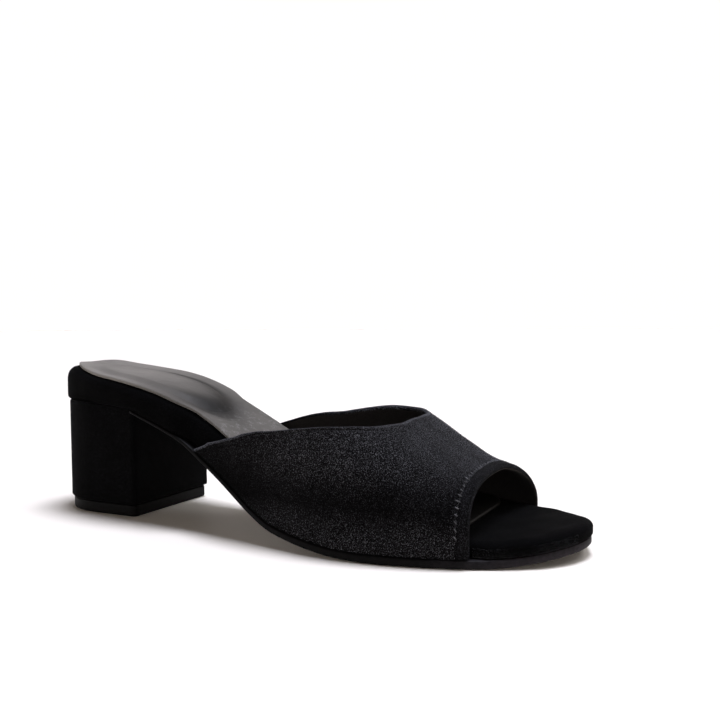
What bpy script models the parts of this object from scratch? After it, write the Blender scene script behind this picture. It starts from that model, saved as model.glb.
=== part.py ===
"""Open-toed mule for the right foot: a velvet strap and footbed on a covered block heel.

Lengths are in metres. +X runs from the heel to the toe, +Y to the medial side and +Z up.
The shoe is drawn from the back of its sole, and then set down with its origin on the floor
under the middle of the heel.
"""

import math
from collections import namedtuple

import bmesh
import bpy
import numpy as np

# Sole
LENGTH = 0.232              # along the floor, from the back of the footbed to the toe
BALL_WIDTH = 0.084          # across the outsole at the ball
SEAT_HEIGHT = 0.0475        # underside of the insole over the floor, at the back
TOE_SPRING = 0.0036         # lift of the sole at the tip of the toe
OUTSOLE_WAIST = 0.0012      # outsole thickness where it leaves the heel
OUTSOLE_TREAD = 0.0028      # outsole thickness from the ball forwards
OUTSOLE_BEVEL = 0.0006      # small bevel on the outsole's edges

# Heel
HEEL_LENGTH = 0.0489        # from the back of the block to its breast
HEEL_WIDTH = 0.0500
HEEL_SETBACK = 0.0031       # the insole stands out over the back of the block by this much
HEEL_ROUND = 0.0260         # length of the block's rounded back
HEEL_SQUARE = 2.2           # how boxy that rounding is (2 is an ellipse)
HEEL_CORNER = 0.002         # radius of the two upright corners at the breast
HEEL_BEVEL = 0.0006         # bevel on the block's and the rubber piece's edges
TOP_PIECE = 0.0050          # thickness of the rubber piece under the block
TOP_PIECE_INSET = 0.0009    # the rubber piece is this much smaller all round

# Insole: the padded footbed, wrapped in velvet
FOOTBED_HEIGHT = 0.0600     # top of the insole over the floor, near the back of the heel
ROLL = 0.0034               # how far the rolled upper edge leans in
ROLL_SHARE = 0.50           # share of the thickness that the upper roll takes
SEAT_DISH = 0.0018          # hollow across the heel seat
TOE_OVERHANG = 0.0006       # the velvet bulges over the outsole at the tip of the toe
OVERHANG_FULL = 0.955       # share of LENGTH where that bulge is whole
HEEL_OVERHANG = 0.0004      # and past the sole line at the back of the heel
HEEL_SWELL = 0.9            # both rolls lean in this much more there
TOE_SWELL = 1.0             # and this much more at the tip of the toe
SWELL_END = 0.14            # share of LENGTH where they are back to size
UNDER_ROLL = 0.0012         # how far the rolled lower edge leans in
UNDER_SHARE = 0.20          # share of the thickness that it takes

# Sock: the smooth cover glued on the insole, raised in a pad under the heel
SOCK_THICKNESS = 0.0012
SOCK_MARGIN = 0.0024        # velvet left showing round it
SOCK_END = 0.831            # its front edge, share of LENGTH
SOCK_CORNER = 0.014         # radius of the corners there
PAD_RISE = 0.0014
PAD_WIDTH = 0.036

# Upper: the strap over the toes
WALL = 0.0020
VAMP_RISE = 0.0448          # top of the strap over the outsole, at the throat
STRAP_FOOT = 0.0060         # height of its upright foot beside the insole
STRAP_SETBACK = 0.0004      # outsole showing past the strap
HEM = 0.0034                # width of the turned hem round the toe opening
HEM_STEP = 0.0004           # the hem stands out by this much
HEM_EASE = 0.0006           # length over which it does

CLEARANCE = 0.0003          # between pieces that touch

# Outline of the sole from above, clockwise from the back of the heel.
# along is a share of LENGTH, across is a share of BALL_WIDTH with the medial side positive.
PlanPoint = namedtuple("PlanPoint", "along across")
PLAN = [
    PlanPoint(0.000, 0.000),
    PlanPoint(0.031, 0.213),
    PlanPoint(0.169, 0.315),
    PlanPoint(0.321, 0.219),
    PlanPoint(0.452, 0.204),
    PlanPoint(0.580, 0.357),
    PlanPoint(0.706, 0.482),
    PlanPoint(0.832, 0.484),
    PlanPoint(0.942, 0.285),
    PlanPoint(1.000, 0.020),
    PlanPoint(0.976, -0.205),
    PlanPoint(0.889, -0.388),
    PlanPoint(0.759, -0.500),
    PlanPoint(0.630, -0.510),
    PlanPoint(0.482, -0.423),
    PlanPoint(0.331, -0.349),
    PlanPoint(0.176, -0.315),
    PlanPoint(0.037, -0.201),
]

# Height of the insole's underside from the side: 1 at the seat, 0 where the ball stands.
ProfilePoint = namedtuple("ProfilePoint", "along rise")
PROFILE = [
    ProfilePoint(0.000, 1.000),
    ProfilePoint(0.110, 0.985),
    ProfilePoint(0.220, 0.952),
    ProfilePoint(0.250, 0.903),
    ProfilePoint(0.297, 0.816),
    ProfilePoint(0.344, 0.718),
    ProfilePoint(0.390, 0.577),
    ProfilePoint(0.436, 0.432),
    ProfilePoint(0.471, 0.314),
    ProfilePoint(0.504, 0.208),
    ProfilePoint(0.547, 0.107),
    ProfilePoint(0.609, 0.045),
    ProfilePoint(0.668, 0.010),
    ProfilePoint(0.711, 0.000),
]
TREAD_END = 0.860           # share of LENGTH where the toe spring starts
SPRING_POWER = 2.0          # how gently it starts

# Height of the insole's top from the side, as a share of FOOTBED_HEIGHT: it rises to a rim at
# the back and lies low under the toes.
FootbedPoint = namedtuple("FootbedPoint", "along height")
FOOTBED = [
    FootbedPoint(0.000, 1.066),
    FootbedPoint(0.034, 1.050),
    FootbedPoint(0.078, 1.006),
    FootbedPoint(0.129, 0.968),
    FootbedPoint(0.181, 0.940),
    FootbedPoint(0.233, 0.903),
    FootbedPoint(0.284, 0.855),
    FootbedPoint(0.336, 0.787),
    FootbedPoint(0.388, 0.698),
    FootbedPoint(0.427, 0.617),
    FootbedPoint(0.474, 0.497),
    FootbedPoint(0.517, 0.383),
    FootbedPoint(0.560, 0.290),
    FootbedPoint(0.603, 0.223),
    FootbedPoint(0.647, 0.183),
    FootbedPoint(0.690, 0.162),
    FootbedPoint(0.733, 0.148),
    FootbedPoint(0.797, 0.140),
    FootbedPoint(0.862, 0.138),
]
DISH_END = 0.42             # share of LENGTH where the hollow in the seat ends
SLOPE_REACH = 0.015         # share of LENGTH over which the slope of the sole is taken
STEP_IN = 0.05              # share of LENGTH over which the insole steps in beside the strap
STEP_MARGIN = 0.01          # and how far behind the strap it is done, as such a share

# Sections of the strap: along is a share of LENGTH, arch is the height over the outsole as a
# share of VAMP_RISE, and the two squares say how boxy its sides are (2 is an ellipse).
StrapSection = namedtuple("StrapSection", "along arch lateral_square medial_square")
STRAP = [
    StrapSection(0.370, 1.190, 2.9, 2.6),
    StrapSection(0.435, 1.250, 2.9, 2.6),
    StrapSection(0.522, 1.250, 2.8, 2.6),
    StrapSection(0.622, 1.200, 2.8, 2.5),
    StrapSection(0.674, 1.100, 2.8, 2.4),
    StrapSection(0.722, 0.955, 2.8, 2.3),
    StrapSection(0.770, 0.775, 2.8, 2.2),
    StrapSection(0.820, 0.610, 2.8, 2.1),
    StrapSection(0.857, 0.550, 2.8, 2.0),
    StrapSection(0.890, 0.520, 2.8, 2.0),
]
STRAP_BACK = 0.3740         # back corner of the strap's foot, share of LENGTH
THROAT = 0.7300             # foremost point of its top line
OPENING_TOP = 0.8570        # front edge over the toes
OPENING_LATERAL = 0.8605    # front edge at the lateral foot
OPENING_MEDIAL = 0.8805     # front edge at the medial foot

# The top line: how far the back edge has run from STRAP_BACK to THROAT on either side, by the
# angle up the section in degrees, from the foot at 0 to the ridge at 90.
ThroatPoint = namedtuple("ThroatPoint", "angle lateral_run medial_run")
THROAT_LINE = [
    ThroatPoint(0, 0.075, 0.050),
    ThroatPoint(1, 0.112, 0.081),
    ThroatPoint(2, 0.139, 0.103),
    ThroatPoint(4, 0.181, 0.138),
    ThroatPoint(9, 0.258, 0.208),
    ThroatPoint(15, 0.327, 0.280),
    ThroatPoint(22, 0.418, 0.364),
    ThroatPoint(30, 0.566, 0.490),
    ThroatPoint(38, 0.724, 0.622),
    ThroatPoint(46, 0.832, 0.758),
    ThroatPoint(55, 0.916, 0.860),
    ThroatPoint(65, 0.966, 0.930),
    ThroatPoint(77, 0.998, 0.985),
    ThroatPoint(90, 1.000, 1.000),
]

# The raised heel pad in the sock, as shares of LENGTH
PAD_BACK = 0.045
PAD_FRONT = 0.385
PAD_SQUARE = 2.6            # 2 would make it an ellipse
PAD_SLOPE = 0.22            # share of its radius over which it rises

# Mesh density
PLAN_STEPS = 60             # from one point of an outline's table to the next
SOLE_ROWS = 50
END_ROWS = 8
ROUND_END = 0.05            # share of LENGTH that the closer rows take at least
ROLL_STEPS = 4
PLAIN_COLUMNS = 6           # across the outsole and the heel
INSOLE_COLUMNS = 8
SOCK_COLUMNS = 12           # enough to carry the heel pad
STRAP_ROWS = 14
STRAP_COLUMNS = 40
COLUMN_CROWDING = 0.5       # how much closer the columns are at the feet and the ridge

BREAST = HEEL_SETBACK + HEEL_LENGTH
RISE = SEAT_HEIGHT - OUTSOLE_TREAD - CLEARANCE

Finish = namedtuple("Finish", "color roughness metallic")
FINISHES = {
    "velvet": Finish((0.012, 0.012, 0.013), 0.95, 0.0),
    "sock_leather": Finish((0.090, 0.090, 0.088), 0.42, 0.0),
    "sole_rubber": Finish((0.020, 0.019, 0.020), 0.55, 0.0),
}


def column(rows, name):
    """One named column of a table."""
    return np.array([getattr(row, name) for row in rows], dtype=float)


def through(stations, values, at):
    """A smooth curve through the values that never overshoots them, level past both ends."""
    steps = np.diff(stations)
    grades = np.diff(values) / steps
    slopes = np.zeros(len(values))
    slopes[0] = grades[0]
    slopes[-1] = grades[-1]
    for i in range(1, len(values) - 1):
        if grades[i - 1] * grades[i] > 0:
            slopes[i] = 2 * grades[i - 1] * grades[i] / (grades[i - 1] + grades[i])
    at = np.clip(at, stations[0], stations[-1])
    span = np.clip(np.searchsorted(stations, at, side="right") - 1, 0, len(steps) - 1)
    t = (at - stations[span]) / steps[span]
    start = (1 + 2 * t) * (1 - t) ** 2 * values[span]
    end = t * t * (3 - 2 * t) * values[span + 1]
    bend = t * (1 - t) * ((1 - t) * slopes[span] - t * slopes[span + 1]) * steps[span]
    return start + end + bend


def smoothstep(low, high, at):
    """0 below low, 1 above high, and a soft S between them."""
    t = np.clip((at - low) / (high - low), 0.0, 1.0)
    return t * t * (3 - 2 * t)


def closed_spline(points, steps):
    """A closed curve through the points whose bend changes smoothly."""
    count = len(points)
    system = 4 * np.eye(count) + np.roll(np.eye(count), 1, axis=0) + np.roll(np.eye(count), -1, axis=0)
    bends = np.linalg.solve(system, 6 * (np.roll(points, 1, 0) - 2 * points + np.roll(points, -1, 0)))
    t = np.linspace(0.0, 1.0, steps, endpoint=False)[:, None]
    spans = []
    for i in range(count):
        after = (i + 1) % count
        straight = points[i] * (1 - t) + points[after] * t
        start_bend = ((1 - t) ** 3 - (1 - t)) * bends[i] / 6
        end_bend = (t**3 - t) * bends[after] / 6
        spans.append(straight + start_bend + end_bend)
    return np.vstack(spans)


SOLE_LINE = closed_spline(
    np.column_stack([column(PLAN, "along") * LENGTH, column(PLAN, "across") * BALL_WIDTH]), PLAN_STEPS
)


def outline(inset):
    """The sole's outline moved inwards by inset(x)."""
    ahead = np.roll(SOLE_LINE, -1, axis=0) - np.roll(SOLE_LINE, 1, axis=0)
    inward = np.column_stack([ahead[:, 1], -ahead[:, 0]])
    inward = inward / np.linalg.norm(inward, axis=1)[:, None]
    return SOLE_LINE + inward * inset(SOLE_LINE[:, 0])[:, None]


def sides(line, x):
    """The medial and the lateral y of a closed line at each x."""
    line = np.roll(line, -int(np.argmin(line[:, 0])), axis=0)
    tip = int(np.argmax(line[:, 0]))
    medial = line[: tip + 1]
    lateral = np.vstack([line[tip:], line[:1]])[::-1]
    return np.interp(x, medial[:, 0], medial[:, 1]), np.interp(x, lateral[:, 0], lateral[:, 1])


def toe_spring(share):
    """Lift of the sole towards the tip of the toe."""
    return TOE_SPRING * np.clip((share - TREAD_END) / (1 - TREAD_END), 0, None) ** SPRING_POWER


def insole_underside(x):
    """Height of the insole's underside: the line of the last, from the seat to the toe."""
    share = np.asarray(x) / LENGTH
    arch = RISE * through(column(PROFILE, "along"), column(PROFILE, "rise"), share)
    return OUTSOLE_TREAD + CLEARANCE + arch + toe_spring(share)


def upright(x):
    """How much taller a layer measures straight up than square to the sloping sole."""
    reach = LENGTH * SLOPE_REACH
    slope = (insole_underside(x + reach) - insole_underside(x - reach)) / (2 * reach)
    return np.sqrt(1 + slope**2)


def insole_top(x, y):
    share = np.asarray(x) / LENGTH
    top = FOOTBED_HEIGHT * through(column(FOOTBED, "along"), column(FOOTBED, "height"), share)
    medial, lateral = sides(SOLE_LINE, x)
    half = np.maximum((medial - lateral) / 2, ROLL)
    off_centre = (y - (medial + lateral) / 2) / half
    dish = SEAT_DISH * (1 - smoothstep(0.0, DISH_END, share)) * np.clip(1 - off_centre**2, 0, 1)
    return top + toe_spring(share) - dish


def heel_end(x):
    """1 at the very back of the footbed, dying away to 0."""
    return 1 - smoothstep(0.0, SWELL_END, x / LENGTH)


def roll_swell(x):
    """How much wider the footbed's rolled edges are towards its two ends."""
    toe_end = smoothstep(OPENING_MEDIAL, 1.0, x / LENGTH)
    return 1 + HEEL_SWELL * heel_end(x) + TOE_SWELL * toe_end


def insole_inset(x):
    """The insole steps in beside the strap, and bulges a little at the toe and at the heel."""
    share = x / LENGTH
    under_strap = STRAP_SETBACK + WALL + CLEARANCE
    step_end = STRAP_BACK - STEP_MARGIN
    step = smoothstep(step_end - STEP_IN, step_end, share)
    release = smoothstep(OPENING_MEDIAL, OVERHANG_FULL, share)
    return under_strap * step - (TOE_OVERHANG + under_strap) * release - HEEL_OVERHANG * heel_end(x)


def outsole_underside(x, y):
    to_tread = smoothstep(BREAST / LENGTH, PROFILE[-1].along, x / LENGTH)
    thickness = OUTSOLE_WAIST + (OUTSOLE_TREAD - OUTSOLE_WAIST) * to_tread
    return insole_underside(x) - CLEARANCE - thickness * upright(x)


def under_insole(x, y):
    return insole_underside(x) - CLEARANCE


def sock_underside(x, y):
    return insole_top(x, y) + CLEARANCE


def pad(x, y):
    """The oval pad under the heel, from 0 outside it to 1 on its flat top."""
    middle = LENGTH * (PAD_BACK + PAD_FRONT) / 2
    reach = LENGTH * (PAD_FRONT - PAD_BACK) / 2
    medial, lateral = sides(SOLE_LINE, x)
    across = np.abs(y - (medial + lateral) / 2) / (PAD_WIDTH / 2)
    radius = (np.abs((x - middle) / reach) ** PAD_SQUARE + across**PAD_SQUARE) ** (1 / PAD_SQUARE)
    return 1 - smoothstep(1 - PAD_SLOPE, 1.0, radius)


def sock_top(x, y):
    return sock_underside(x, y) + SOCK_THICKNESS + PAD_RISE * pad(x, y)


# One ring round a layer: how far it is inset, and its height as a share of the way from the
# layer's underside to its top plus a rise.
Level = namedtuple("Level", "inset share rise")


def rolled_levels():
    """Rings for the padded insole: a small roll below and a larger one above."""
    levels = [
        Level(UNDER_ROLL, 0.0, 0.0),
        Level(UNDER_ROLL / 3, UNDER_SHARE / 3, 0.0),
        Level(0.0, UNDER_SHARE, 0.0),
    ]
    for i in range(ROLL_STEPS + 1):
        turn = math.pi / 2 * i / ROLL_STEPS
        levels.append(Level(ROLL * (1 - math.cos(turn)), 1 - ROLL_SHARE * (1 - math.sin(turn)), 0.0))
    return levels


def rows_along(backs, fronts, square_back):
    """Where each ring of a layer has its rows: shared stations, closer together at the ends.

    backs and fronts are the ends of the rings. The rows crowd towards the toe end, and towards
    the heel end unless it is cut off square.
    """
    stations = LENGTH * np.arange(1, SOLE_ROWS) / SOLE_ROWS
    reach = LENGTH * ROUND_END
    inner = stations[(stations > backs.max() + reach) & (stations < fronts.min() - reach)]
    turns = math.pi / 2 * np.arange(END_ROWS) / END_ROWS
    heel_spread = np.sin(turns) if square_back else 1 - np.cos(turns)
    toe_spread = np.sin(turns + turns[1])
    rows = []
    for back, front in zip(backs, fronts):
        heel_end = back + (inner[0] - back) * heel_spread
        toe_end = inner[-1] + (front - inner[-1]) * toe_spread
        rows.append(np.concatenate([heel_end, inner, toe_end]))
    return rows


def layer(line, levels, low, high, columns, start=None, end=None, corner=0.0):
    """A closed layer of the sole: rings round its edge and a grid over its top and underside.

    line(inset) gives its outline; start and end cut it off square, with corner as the radius
    of the upright corners at end.
    """
    mesh = bmesh.new()
    edges = [line(level.inset) for level in levels]
    insets = column(levels, "inset")
    backs = np.array([edge[:, 0].min() for edge in edges]) if start is None else start + insets
    fronts = np.array([edge[:, 0].max() for edge in edges]) if end is None else end - insets
    share = np.linspace(0.0, 1.0, columns + 1)[None, :]
    rings = []
    grids = []
    for level, edge, x in zip(levels, edges, rows_along(backs, fronts, start is not None)):
        medial, lateral = sides(edge, x)
        past = np.clip(x - (x[-1] - corner), 0.0, corner)
        round_off = corner - np.sqrt(corner**2 - past**2)
        grid_x = np.repeat(x[:, None], columns + 1, axis=1)
        grid_y = (medial - round_off)[:, None] * (1 - share) + (lateral + round_off)[:, None] * share
        underside = low(grid_x, grid_y)
        grid_z = underside + level.share * (high(grid_x, grid_y) - underside) + level.rise
        grid = np.stack([grid_x, grid_y, grid_z], axis=-1)
        border = [grid[:, 0], grid[-1, 1:-1], grid[::-1, -1], grid[0, 1:-1][::-1]]
        grids.append(grid)
        rings.append([mesh.verts.new(point) for point in np.vstack(border)])
    for below, above in zip(rings, rings[1:]):
        for i in range(len(below)):
            after = (i + 1) % len(below)
            mesh.faces.new([below[i], below[after], above[after], above[i]])
    for grid in (grids[0], grids[-1]):
        cap = [[mesh.verts.new(point) for point in row] for row in grid]
        for i in range(len(cap) - 1):
            for j in range(columns):
                mesh.faces.new([cap[i][j], cap[i + 1][j], cap[i + 1][j + 1], cap[i][j + 1]])
    return mesh


def strap_front(angle):
    """The strap's front edge at each angle, from the lateral foot at 0 to the medial at pi."""
    foot = np.where(angle < math.pi / 2, OPENING_LATERAL, OPENING_MEDIAL)
    return LENGTH * (OPENING_TOP + (foot - OPENING_TOP) * np.cos(angle) ** 2)


def strap_back(angle):
    """The strap's top line at each angle."""
    climb = np.degrees(np.minimum(angle, math.pi - angle))
    angles = column(THROAT_LINE, "angle")
    lateral_run = through(angles, column(THROAT_LINE, "lateral_run"), climb)
    medial_run = through(angles, column(THROAT_LINE, "medial_run"), climb)
    run = np.where(angle < math.pi / 2, lateral_run, medial_run)
    return LENGTH * (STRAP_BACK + (THROAT - STRAP_BACK) * run)


def strap_points(x, angle, lift, depth):
    """Points of the strap's arched sections, depth inside its outer face."""
    share = x / LENGTH
    along = column(STRAP, "along")
    medial, lateral = sides(SOLE_LINE, x)
    medial = medial - STRAP_SETBACK - depth
    lateral = lateral + STRAP_SETBACK + depth
    ridge = (medial + lateral) / 2
    arch = VAMP_RISE * through(along, column(STRAP, "arch"), share) - depth
    lateral_half = angle < math.pi / 2
    lateral_square = through(along, column(STRAP, "lateral_square"), share)
    medial_square = through(along, column(STRAP, "medial_square"), share)
    power = 2 / np.where(lateral_half, lateral_square, medial_square)
    side = np.where(lateral_half, lateral, medial)
    y = ridge + (side - ridge) * np.abs(np.cos(angle)) ** power
    over_foot = STRAP_FOOT + (arch - STRAP_FOOT) * np.abs(np.sin(angle)) ** power
    return np.stack([x, y, insole_underside(x) + lift * over_foot], axis=-1)


def strap():
    """The upper: an arched wall over the toes, open at its throat, its toe and underneath."""
    even = np.linspace(0.0, math.pi, STRAP_COLUMNS + 1)
    angle = even - COLUMN_CROWDING * np.sin(4 * even) / 4
    back = strap_back(angle)
    front = strap_front(angle)
    # The upright feet add one column below each end of the arch.
    angle = np.concatenate([angle[:1], angle, angle[-1:]])
    back = np.concatenate([[LENGTH * STRAP_BACK], back, [LENGTH * STRAP_BACK]])
    front = np.concatenate([front[:1], front, front[-1:]])
    lift = np.ones(len(angle))
    lift[0] = 0.0
    lift[-1] = 0.0
    nose = WALL / 3
    body = [(back + (front - HEM - back) * i / STRAP_ROWS, 0.0) for i in range(STRAP_ROWS + 1)]
    hem = [(front - HEM + HEM_EASE, -HEM_STEP), (front - HEM / 2, -HEM_STEP), (front - nose, -HEM_STEP)]
    outer = [strap_points(x, angle, lift, depth) for x, depth in body + hem]
    inner = [strap_points(x, angle, lift, WALL) for x, depth in body + hem]
    front_nose = strap_points(front, angle, lift, (WALL - HEM_STEP) / 2)
    back_nose = strap_points(back - nose, angle, lift, WALL / 2)
    mesh = bmesh.new()
    loops = []
    for points in outer + [front_nose] + inner[::-1] + [back_nose]:
        loops.append([mesh.verts.new(point) for point in points])
    for i in range(len(loops)):
        after = loops[(i + 1) % len(loops)]
        for j in range(len(angle) - 1):
            mesh.faces.new([loops[i][j], after[j], after[j + 1], loops[i][j + 1]])
    rows = len(outer)
    for j in (0, len(angle) - 1):
        for i in range(rows - 1):
            inside = len(loops) - 2 - i
            mesh.faces.new([loops[i][j], loops[i + 1][j], loops[inside - 1][j], loops[inside][j]])
        mesh.faces.new([loops[rows - 1][j], loops[rows][j], loops[rows + 1][j]])
        mesh.faces.new([loops[0][j], loops[-2][j], loops[-1][j]])
    return mesh


def insole():
    underside = lambda x, y: insole_underside(x)
    edge = lambda lean: outline(lambda x: insole_inset(x) + lean * roll_swell(x))
    return layer(edge, rolled_levels(), underside, insole_top, INSOLE_COLUMNS)


def outsole():
    levels = [
        Level(OUTSOLE_BEVEL, 0.0, 0.0),
        Level(0.0, 0.0, OUTSOLE_BEVEL),
        Level(0.0, 1.0, -OUTSOLE_BEVEL / 2),
        Level(OUTSOLE_BEVEL / 2, 1.0, 0.0),
    ]
    edge = lambda inset: outline(lambda x: 0 * x + inset)
    start = BREAST + CLEARANCE
    return layer(edge, levels, outsole_underside, under_insole, PLAIN_COLUMNS, start=start)


def sock():
    bevel = SOCK_THICKNESS / 3
    levels = [Level(0.0, 0.0, 0.0), Level(0.0, 1.0, -bevel), Level(bevel, 1.0, 0.0)]
    margin = lambda x: SOCK_MARGIN + ROLL * HEEL_SWELL * heel_end(x)
    edge = lambda inset: outline(lambda x: insole_inset(x) + margin(x) + inset)
    end = LENGTH * SOCK_END
    return layer(edge, levels, sock_underside, sock_top, SOCK_COLUMNS, end=end, corner=SOCK_CORNER)


def heel_line(inset):
    """The block's outline from above: a rounded back and straight sides that run past the breast."""
    turn = np.linspace(0.0, math.pi / 2, PLAN_STEPS)
    power = 2 / HEEL_SQUARE
    half = HEEL_WIDTH / 2 - inset
    along = HEEL_SETBACK + inset + (HEEL_ROUND - inset) * (1 - np.cos(turn) ** power)
    medial = np.column_stack([along, half * np.sin(turn) ** power])
    past_breast = 2 * BREAST
    front = [[past_breast, half], [past_breast, -half]]
    return np.vstack([medial, front, medial[:0:-1] * [1, -1]])


def heel_layer(inset, low, high, bevel):
    """A slice of the block heel, cut off square at the breast."""
    levels = [
        Level(bevel, 0.0, 0.0),
        Level(0.0, 0.0, bevel),
        Level(0.0, 1.0, -bevel),
        Level(bevel, 1.0, 0.0),
    ]
    edge = lambda extra: heel_line(inset + extra)
    return layer(edge, levels, low, high, PLAIN_COLUMNS, end=BREAST - inset, corner=HEEL_CORNER)


def heel_block():
    floor = lambda x, y: 0 * x + TOP_PIECE + CLEARANCE
    return heel_layer(0.0, floor, under_insole, HEEL_BEVEL)


def heel_top_piece():
    floor = lambda x, y: 0 * x
    top = lambda x, y: 0 * x + TOP_PIECE
    return heel_layer(TOP_PIECE_INSET, floor, top, HEEL_BEVEL)


def material(name):
    """A Principled material with the finish's colour, roughness and metallic value."""
    finish = FINISHES[name]
    made = bpy.data.materials.new(name)
    made.use_nodes = True
    shader = made.node_tree.nodes["Principled BSDF"]
    shader.inputs["Base Color"].default_value = (*finish.color, 1.0)
    shader.inputs["Roughness"].default_value = finish.roughness
    shader.inputs["Metallic"].default_value = finish.metallic
    made.diffuse_color = (*finish.color, 1.0)
    return made


def add_piece(name, mesh, finish, parent):
    """Weld the mesh, face it outwards and hang it on the shoe's frame as one object."""
    weld = 1e-6
    sharp = math.radians(40)
    bmesh.ops.remove_doubles(mesh, verts=mesh.verts, dist=weld)
    bmesh.ops.triangulate(mesh, faces=mesh.faces)
    bmesh.ops.recalc_face_normals(mesh, faces=mesh.faces)
    data = bpy.data.meshes.new(name)
    mesh.to_mesh(data)
    mesh.free()
    data.shade_smooth()
    data.set_sharp_from_angle(angle=sharp)
    data.materials.append(finish)
    piece = bpy.data.objects.new(name, data)
    bpy.context.scene.collection.objects.link(piece)
    piece.parent = parent
    return piece


def clear_scene():
    for item in list(bpy.data.objects):
        bpy.data.objects.remove(item, do_unlink=True)


def build():
    clear_scene()
    frame = bpy.data.objects.new("shoe_frame", None)
    frame.location.x = -(HEEL_SETBACK + HEEL_LENGTH / 2)
    bpy.context.scene.collection.objects.link(frame)
    velvet = material("velvet")
    leather = material("sock_leather")
    rubber = material("sole_rubber")
    add_piece("heel_top_piece", heel_top_piece(), rubber, frame)
    add_piece("heel_block", heel_block(), velvet, frame)
    add_piece("outsole", outsole(), rubber, frame)
    add_piece("insole", insole(), velvet, frame)
    add_piece("sock", sock(), leather, frame)
    add_piece("upper", strap(), velvet, frame)


build()
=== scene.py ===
"""The looks of the open-toed mule: velvet strap, footbed and heel, smooth grey sock, rubber sole.

Lengths are in metres. The shoe's shape is worked out here again from its own sizes, more finely
than in the solids, and in the same way: from the back of the sole, with X to the toe, Y to the
medial side and Z up. FRAME_SHIFT then moves it onto the model's origin.
"""

import math
from collections import namedtuple

import bmesh
import bpy
import numpy as np
from mathutils import Matrix, Vector


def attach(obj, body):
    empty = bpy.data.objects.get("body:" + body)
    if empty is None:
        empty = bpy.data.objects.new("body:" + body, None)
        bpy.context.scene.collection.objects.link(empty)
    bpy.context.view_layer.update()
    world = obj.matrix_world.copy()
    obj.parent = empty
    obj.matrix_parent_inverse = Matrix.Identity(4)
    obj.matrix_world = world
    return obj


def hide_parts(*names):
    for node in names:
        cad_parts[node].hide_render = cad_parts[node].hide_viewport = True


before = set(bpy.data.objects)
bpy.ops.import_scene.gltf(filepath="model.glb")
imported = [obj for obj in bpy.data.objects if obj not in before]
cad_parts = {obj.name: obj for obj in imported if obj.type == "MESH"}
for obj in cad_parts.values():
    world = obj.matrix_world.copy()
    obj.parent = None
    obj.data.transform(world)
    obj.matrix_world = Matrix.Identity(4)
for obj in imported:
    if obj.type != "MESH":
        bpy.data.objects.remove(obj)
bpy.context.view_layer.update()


def table(names, *rows):
    """The columns of a table, by name."""
    return dict(zip(names.split(), np.array(rows, dtype=float).T))


# Sole
LENGTH = 0.232  # along the floor, from the back of the footbed to the toe
BALL_WIDTH = 0.084
SEAT_HEIGHT = 0.0475  # underside of the insole over the floor, at the back
TOE_SPRING = 0.0036  # lift of the sole at the tip of the toe
OUTSOLE_WAIST = 0.0012  # thickness where it leaves the heel
OUTSOLE_TREAD = 0.0028  # and from the ball forwards
OUTSOLE_BEVEL = 0.0006

# Heel
HEEL_LENGTH = 0.0489  # from the back of the block to its breast
HEEL_WIDTH = 0.0500
HEEL_SETBACK = 0.0031  # the insole stands out so far behind the block
HEEL_ROUND = 0.0260  # length of the block's rounded back
HEEL_SQUARE = 2.2  # how boxy that rounding is (2 is an ellipse)
HEEL_CORNER = 0.002  # radius of the two upright corners at the breast
HEEL_BEVEL = 0.0006
TOP_PIECE = 0.0050  # thickness of the rubber under the block
TOP_PIECE_INSET = 0.0009  # the rubber piece is this much smaller all round

# Insole: the padded footbed, wrapped in velvet
FOOTBED_HEIGHT = 0.0600  # top of the insole over the floor, near the back of the heel
ROLL = 0.0034  # how far the rolled upper edge leans in
ROLL_SHARE = 0.50  # share of the thickness that the upper roll takes
SEAT_DISH = 0.0018  # hollow across the heel seat
TOE_OVERHANG = 0.0006  # the velvet bulges over the outsole at the tip of the toe
OVERHANG_FULL = 0.955  # share of LENGTH where that bulge is whole
HEEL_OVERHANG = 0.0004  # and past the sole line at the back of the heel
HEEL_SWELL = 0.9  # both rolls lean in this much more there
TOE_SWELL = 1.0  # and this much more at the tip of the toe
SWELL_END = 0.14  # share of LENGTH where they are back to size
UNDER_ROLL = 0.0006  # how far the rolled lower edge leans in
UNDER_SHARE = 0.10  # share of the thickness that it takes

# Sock: the smooth cover glued on the insole, raised in a pad under the heel
SOCK_THICKNESS = 0.0012
SOCK_MARGIN = 0.0024  # velvet left showing round it
SOCK_END = 0.831  # its front edge, share of LENGTH
SOCK_CORNER = 0.014  # radius of the corners there
PAD_RISE = 0.0014
PAD_WIDTH = 0.036

# Upper: the strap over the toes
WALL = 0.0020
VAMP_RISE = 0.0448  # top of the strap over the outsole, at the throat
STRAP_FOOT = 0.0060  # height of its upright foot beside the insole
STRAP_SETBACK = 0.0004  # outsole showing past the strap
HEM = 0.0034  # width of the turned hem round the toe opening
HEM_STEP = 0.0004  # the hem stands out by this much
HEM_EASE = 0.0006  # length over which it does

CLEARANCE = 0.0003  # between pieces that touch

# Outline of the sole from above, clockwise from the back of the heel.
# along is a share of LENGTH, across is a share of BALL_WIDTH with the medial side positive.
PLAN = table(
    "along across",
    (0.000, 0.000), (0.031, 0.213), (0.169, 0.315), (0.321, 0.219), (0.452, 0.204),
    (0.580, 0.357), (0.706, 0.482), (0.832, 0.484), (0.942, 0.285), (1.000, 0.020),
    (0.976, -0.205), (0.889, -0.388), (0.759, -0.500), (0.630, -0.510), (0.482, -0.423),
    (0.331, -0.349), (0.176, -0.315), (0.037, -0.201),
)

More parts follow.
